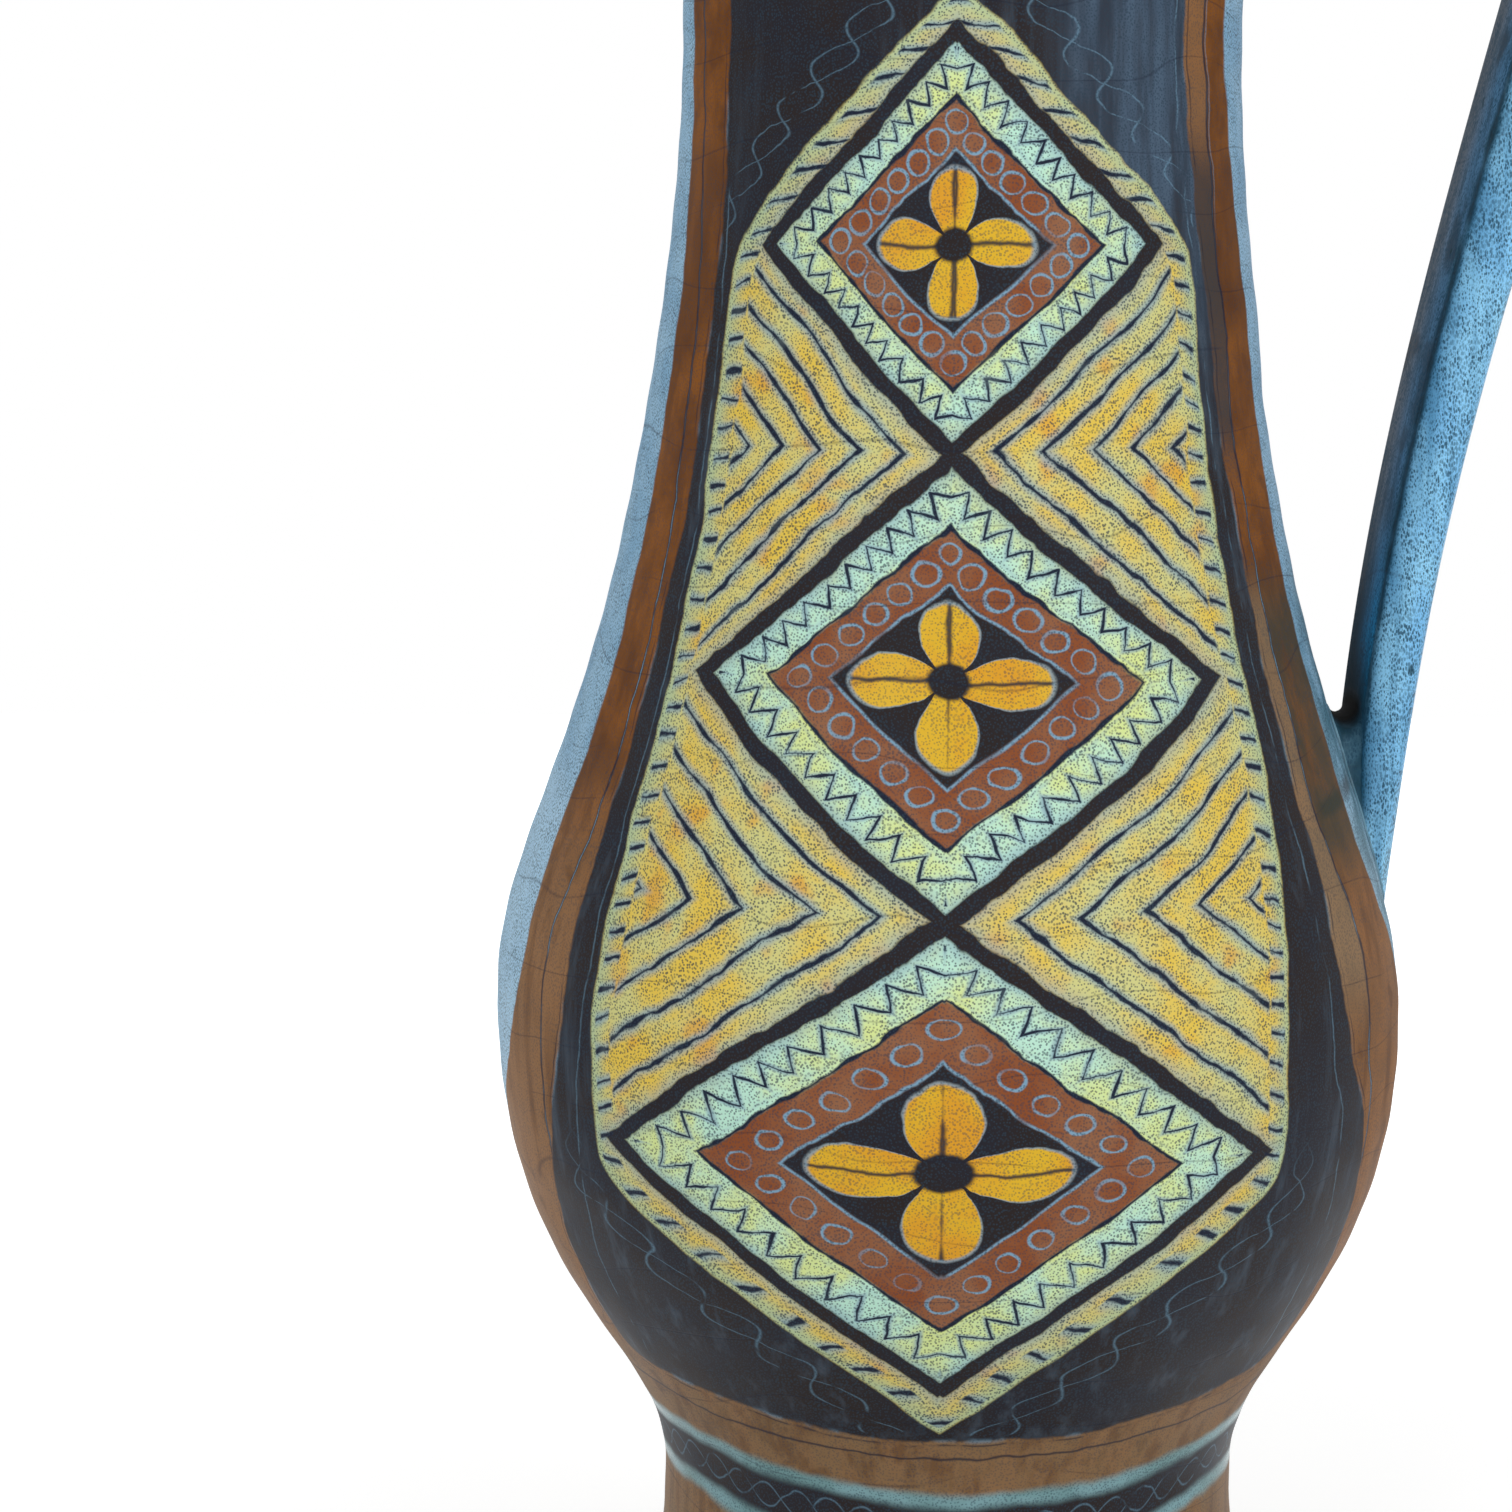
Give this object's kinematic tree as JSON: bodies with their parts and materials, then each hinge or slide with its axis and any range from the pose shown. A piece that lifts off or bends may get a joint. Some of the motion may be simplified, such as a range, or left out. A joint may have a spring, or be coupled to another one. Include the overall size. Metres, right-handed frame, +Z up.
{
  "type": "baluster jug",
  "caption": "Glazed baluster jug with a flared foot, full belly, long neck, pulled pouring lip and strap handle, for holding and pouring liquid.",
  "frame": {"origin": "on the jug's axis, in the plane of the foot ring that it stands on", "axes": "+Z up the jug's axis, +X towards the handle, -X towards the pouring lip, -Y towards the decorated front"},
  "size_m": [0.1949, 0.162, 0.3873],
  "materials": {
    "banded_glaze": "satin glaze in brown, dark and blue bands",
    "painted_glaze": "satin glaze, painted panels scratched through to blue",
    "blue_glaze": "satin blue glaze with dark speckle",
    "luting_slip": "unglazed clay slip, sealed in the joints"
  },
  "bodies": {
    "root": {"foot": "banded_glaze", "belly": "painted_glaze", "neck": "painted_glaze", "handle": "blue_glaze", "foot_slip": "luting_slip", "neck_slip": "luting_slip", "handle_low_slip": "luting_slip", "handle_top_slip": "luting_slip"}
  },
  "joints": []
}
